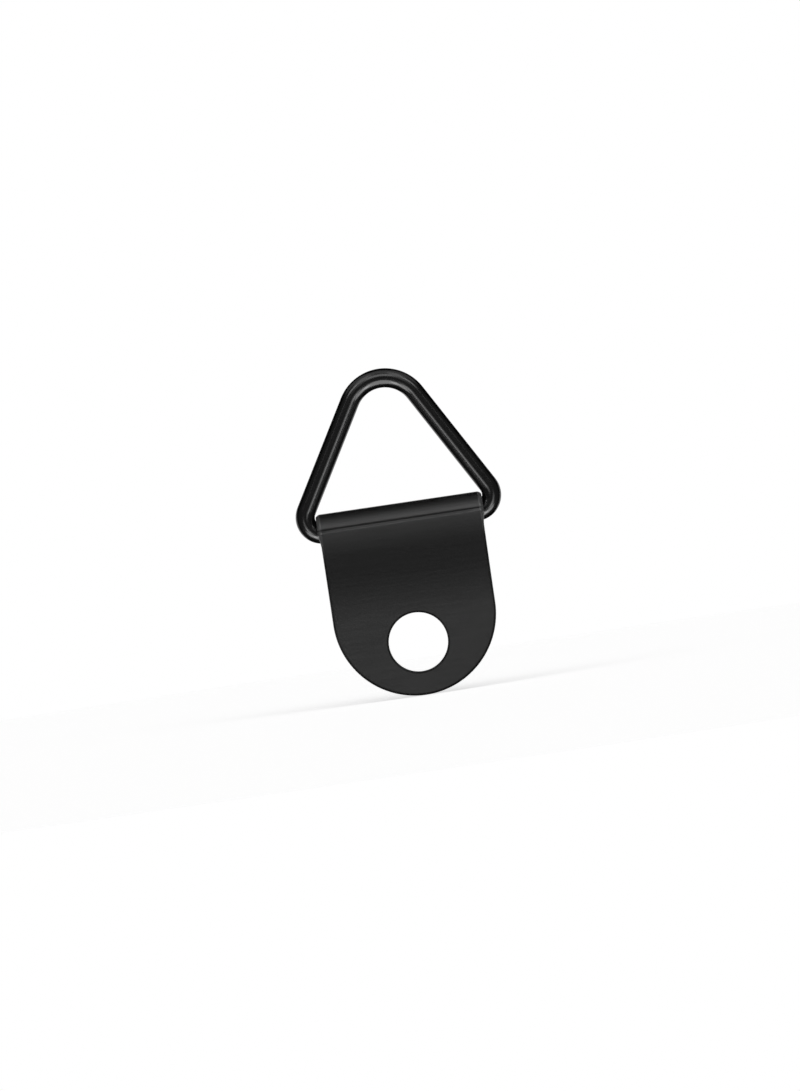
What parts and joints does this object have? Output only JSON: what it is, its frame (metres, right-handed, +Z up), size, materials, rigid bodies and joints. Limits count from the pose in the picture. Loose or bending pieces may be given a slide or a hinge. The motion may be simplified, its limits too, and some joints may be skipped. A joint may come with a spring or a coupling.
{
  "type": "d ring picture hanger",
  "caption": "Small picture-frame hanger: a folded steel strip with a screw hole, holding a swinging triangular wire ring.",
  "frame": {"origin": "centre of the screw hole, on the strap's flat back", "axes": "+X to the right as seen from the front, +Y into the surface that the back is screwed to, +Z up along the strap towards the ring"},
  "size_m": [0.016, 0.0031, 0.0255],
  "materials": {
    "strap_coat": "satin black coating",
    "ring_coat": "finely grained glossy black coating"
  },
  "bodies": {
    "strap": {"strap": "strap_coat"},
    "ring": {"triangle_ring": "ring_coat"}
  },
  "joints": [
    {"name": "ring_swing", "type": "hinge", "parent": "strap", "child": "ring", "pos_m": [0, -0.00153, 0.00935], "axis": [1, 0, 0], "range_deg": [-119, 125]}
  ]
}
